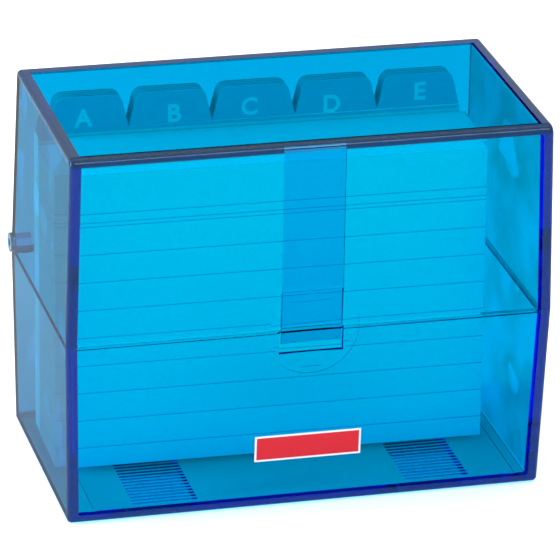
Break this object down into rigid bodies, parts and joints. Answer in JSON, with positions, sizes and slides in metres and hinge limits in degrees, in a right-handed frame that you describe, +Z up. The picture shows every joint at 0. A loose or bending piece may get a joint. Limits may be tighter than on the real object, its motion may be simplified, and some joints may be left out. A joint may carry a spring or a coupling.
{
  "type": "hinged-lid index card box",
  "caption": "Translucent hinged-lid box for A7 index cards, with a front latch tongue, ruled cards and lettered guide cards with tabs.",
  "frame": {"origin": "middle of the resting face under the base", "axes": "+X to the right seen from the front, +Y to the hinge at the back, +Z up"},
  "size_m": [0.1178, 0.0677, 0.0922],
  "materials": {
    "blue_plastic": "clear blue, polished",
    "label": "gloss film with a white edge",
    "card_paper": "smooth white card with ruled lines",
    "guide_board": "smooth board with grey printed tabs"
  },
  "bodies": {
    "base": {"base_shell": "blue_plastic", "label_plate": "label"},
    "lid": {"lid_shell": "blue_plastic"},
    "latch": {"latch_tongue": "blue_plastic"},
    "cards": {"front_card": "card_paper", "index_cards": "card_paper"},
    "guides": {"guide_01": "guide_board", "guide_02": "guide_board", "guide_03": "guide_board", "guide_04": "guide_board", "guide_05": "guide_board", "guide_06": "guide_board", "guide_07": "guide_board", "guide_08": "guide_board", "guide_09": "guide_board", "guide_10": "guide_board", "guide_11": "guide_board", "guide_12": "guide_board", "guide_13": "guide_board", "guide_14": "guide_board", "guide_15": "guide_board", "guide_16": "guide_board", "guide_17": "guide_board", "guide_18": "guide_board", "guide_19": "guide_board", "guide_20": "guide_board", "guide_21": "guide_board", "guide_22": "guide_board", "guide_23": "guide_board", "guide_24": "guide_board", "guide_25": "guide_board"}
  },
  "joints": [
    {"name": "lid_hinge", "type": "hinge", "parent": "base", "child": "lid", "pos_m": [0, 0.03341, 0.046], "axis": [-1, 0, 0], "range_deg": [0, 105]},
    {"name": "latch_flex", "type": "hinge", "parent": "lid", "child": "latch", "pos_m": [0, -0.03129, 0.05545], "axis": [-1, 0, 0], "range_deg": [0, 6], "stiffness_Nm_per_rad": 0.1},
    {"name": "cards_tilt", "type": "hinge", "parent": "base", "child": "cards", "pos_m": [-0.001, -0.00487, 0.00245], "axis": [0.9999, -0.014, 0], "range_deg": [0, 12]},
    {"name": "guides_tilt", "type": "hinge", "parent": "base", "child": "guides", "pos_m": [-0.00072, 0.01542, 0.00245], "axis": [0.9999, -0.014, 0], "range_deg": [0, 6]}
  ],
  "couplings": [
    {"joint": "guides_tilt", "follows": "cards_tilt", "ratio": 0.5}
  ]
}
